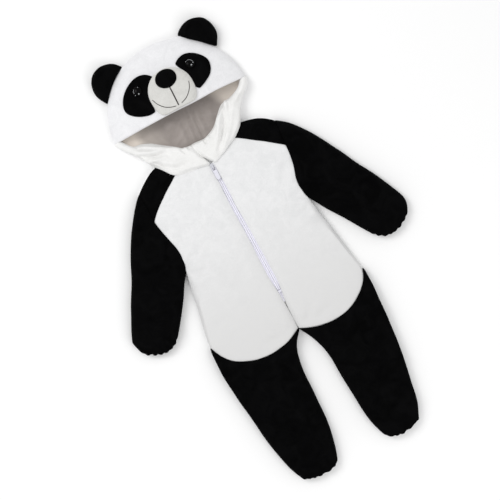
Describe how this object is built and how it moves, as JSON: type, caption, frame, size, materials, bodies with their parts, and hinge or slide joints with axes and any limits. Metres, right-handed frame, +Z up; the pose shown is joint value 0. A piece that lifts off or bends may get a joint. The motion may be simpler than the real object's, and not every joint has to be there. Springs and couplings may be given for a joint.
{
  "type": "panda onesie",
  "caption": "Padded plush animal romper for a toddler, laid flat on its back: hood with ears and a bear's face, front zip with a swinging pull, open cuffs and leg ends.",
  "frame": {"origin": "middle of the garment's footprint, on the surface it lies on", "axes": "+X to the wearer's left, +Y from the feet to the hood, +Z up from the surface, out of the front"},
  "size_m": [0.6172, 0.9332, 0.0543],
  "materials": {
    "white_plush": "short pile plush, matt",
    "black_plush": "short pile plush, faint sheen",
    "grey_lining": "brushed lining, matt",
    "muzzle_plush": "short pile plush, matt",
    "eye_plastic": "polished",
    "zip_tape": "woven tape",
    "zip_plastic": "satin nylon",
    "slider_metal": "satin"
  },
  "bodies": {
    "garment": {"back": "white_plush", "front_left": "white_plush", "front_right": "white_plush", "yoke_left": "black_plush", "yoke_right": "black_plush", "sleeve_left": "black_plush", "sleeve_right": "black_plush", "leg_left": "black_plush", "leg_right": "black_plush", "hood_back": "white_plush", "hood_lining": "grey_lining", "hood_face": "white_plush", "collar_left": "white_plush", "collar_right": "white_plush", "ear_left": "black_plush", "ear_right": "black_plush", "eye_patch_left": "black_plush", "eye_patch_right": "black_plush", "eye_left": "eye_plastic", "eye_right": "eye_plastic", "muzzle": "muzzle_plush", "nose": "black_plush", "zip_tape_left": "zip_tape", "zip_tape_right": "zip_tape", "zip_coil": "zip_plastic", "zip_stop": "zip_plastic", "zip_slider": "slider_metal"},
    "pull": {"zip_pull": "zip_plastic"}
  },
  "joints": [
    {"name": "pull_swing", "type": "hinge", "parent": "garment", "child": "pull", "pos_m": [-0.00159, 0.18096, 0.0182], "axis": [-0.9999, -0.01, 0], "range_deg": [0, 130]}
  ]
}
